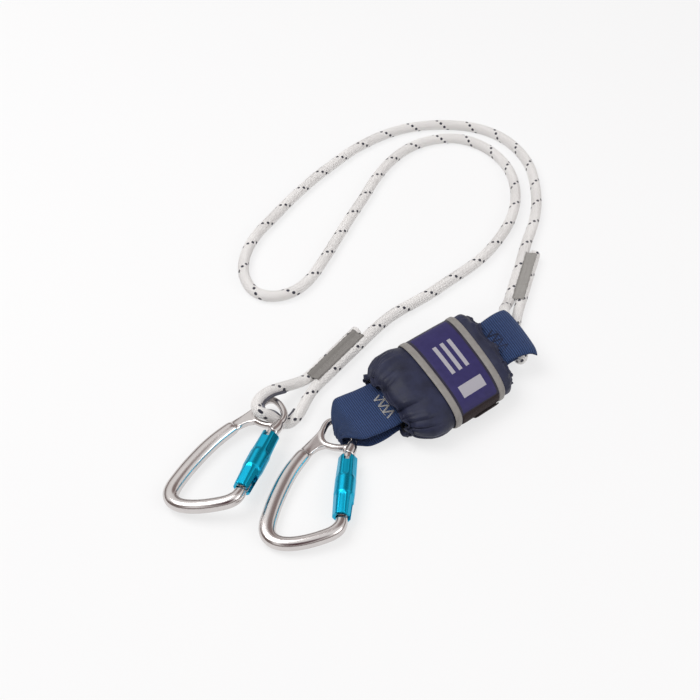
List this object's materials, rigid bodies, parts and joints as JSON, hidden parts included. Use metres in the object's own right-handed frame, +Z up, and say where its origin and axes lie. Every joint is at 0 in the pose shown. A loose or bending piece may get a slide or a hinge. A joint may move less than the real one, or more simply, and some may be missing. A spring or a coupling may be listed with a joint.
{
  "type": "shock absorbing lanyard",
  "caption": "Rope fall-arrest lanyard with spliced eyes, a sewn tear-webbing energy absorber and a twist-lock carabiner at each end, laid in a loop.",
  "frame": {"origin": "middle of the footprint of the connectors and the absorber pack, on the surface they lie on", "axes": "+Z up from the surface, +X from the far connector towards the pack, +Y towards the coiled rope"},
  "size_m": [0.3441, 0.5526, 0.0314],
  "materials": {
    "rope": "braided",
    "seam_thread": "matte",
    "thimble": "satin",
    "webbing": "woven",
    "cover_fabric": "woven",
    "elastic": "ribbed",
    "label": "satin",
    "reflective_tape": "satin",
    "hook_and_loop": "napped",
    "forged_aluminium": "polished",
    "rivet_steel": "satin",
    "spring_steel": "satin",
    "anodised_sleeve": "anodised"
  },
  "bodies": {
    "absorber_and_rope": {"rope": "rope", "rope_eye_a": "rope", "rope_eye_b": "rope", "rope_tail_a": "rope", "rope_tail_b": "rope", "splice_stitching_a": "seam_thread", "splice_stitching_b": "seam_thread", "thimble": "thimble", "carabiner_loop": "webbing", "rope_loop": "webbing", "carabiner_loop_stitching": "seam_thread", "rope_loop_stitching": "seam_thread", "tear_webbing": "webbing", "cover": "cover_fabric", "hem_elastic_left": "elastic", "hem_elastic_right": "elastic", "label_wrap": "label", "label_panel": "label", "reflective_strip_left": "reflective_tape", "reflective_strip_right": "reflective_tape", "hook_and_loop_strip": "hook_and_loop"},
    "carabiner_a": {"carabiner_body_a": "forged_aluminium"},
    "gate_a": {"gate_a": "forged_aluminium", "gate_rivet_a": "rivet_steel", "gate_plunger_a": "rivet_steel", "gate_spring_a": "spring_steel", "sleeve_spring_a": "spring_steel", "guide_pin_a": "rivet_steel"},
    "sleeve_a": {"locking_sleeve_a": "anodised_sleeve"},
    "carabiner_b": {"carabiner_body_b": "forged_aluminium"},
    "gate_b": {"gate_b": "forged_aluminium", "gate_rivet_b": "rivet_steel", "gate_plunger_b": "rivet_steel", "gate_spring_b": "spring_steel", "sleeve_spring_b": "spring_steel", "guide_pin_b": "rivet_steel"},
    "sleeve_b": {"locking_sleeve_b": "anodised_sleeve"}
  },
  "joints": [
    {"name": "carabiner_a_swing", "type": "hinge", "parent": "absorber_and_rope", "child": "carabiner_a", "pos_m": [-0.0724, 0.00356, 0.01272], "axis": [0, 0, 1], "range_deg": [-12, 2]},
    {"name": "gate_a_hinge", "type": "hinge", "parent": "carabiner_a", "child": "gate_a", "pos_m": [-0.07196, -0.02138, 0.01513], "axis": [0.179, -0.0916, -0.9796], "range_deg": [0, 25], "stiffness_Nm_per_rad": 0.3},
    {"name": "sleeve_a_twist", "type": "hinge", "parent": "gate_a", "child": "sleeve_a", "pos_m": [-0.07196, -0.02138, 0.01513], "axis": [-0.3406, -0.9399, 0.0257], "range_deg": [0, 90], "stiffness_Nm_per_rad": 0.02},
    {"name": "carabiner_b_swing", "type": "hinge", "parent": "absorber_and_rope", "child": "carabiner_b", "pos_m": [-0.01612, -0.01345, 0.00762], "axis": [0, 0, 1], "range_deg": [-2, 15]},
    {"name": "gate_b_hinge", "type": "hinge", "parent": "carabiner_b", "child": "gate_b", "pos_m": [-0.00842, -0.03962, 0.00843], "axis": [0.0614, -0.0131, -0.998], "range_deg": [0, 25], "stiffness_Nm_per_rad": 0.3},
    {"name": "sleeve_b_twist", "type": "hinge", "parent": "gate_b", "child": "sleeve_b", "pos_m": [-0.00842, -0.03962, 0.00843], "axis": [-0.0817, -0.9966, 0.008], "range_deg": [0, 90], "stiffness_Nm_per_rad": 0.02}
  ]
}
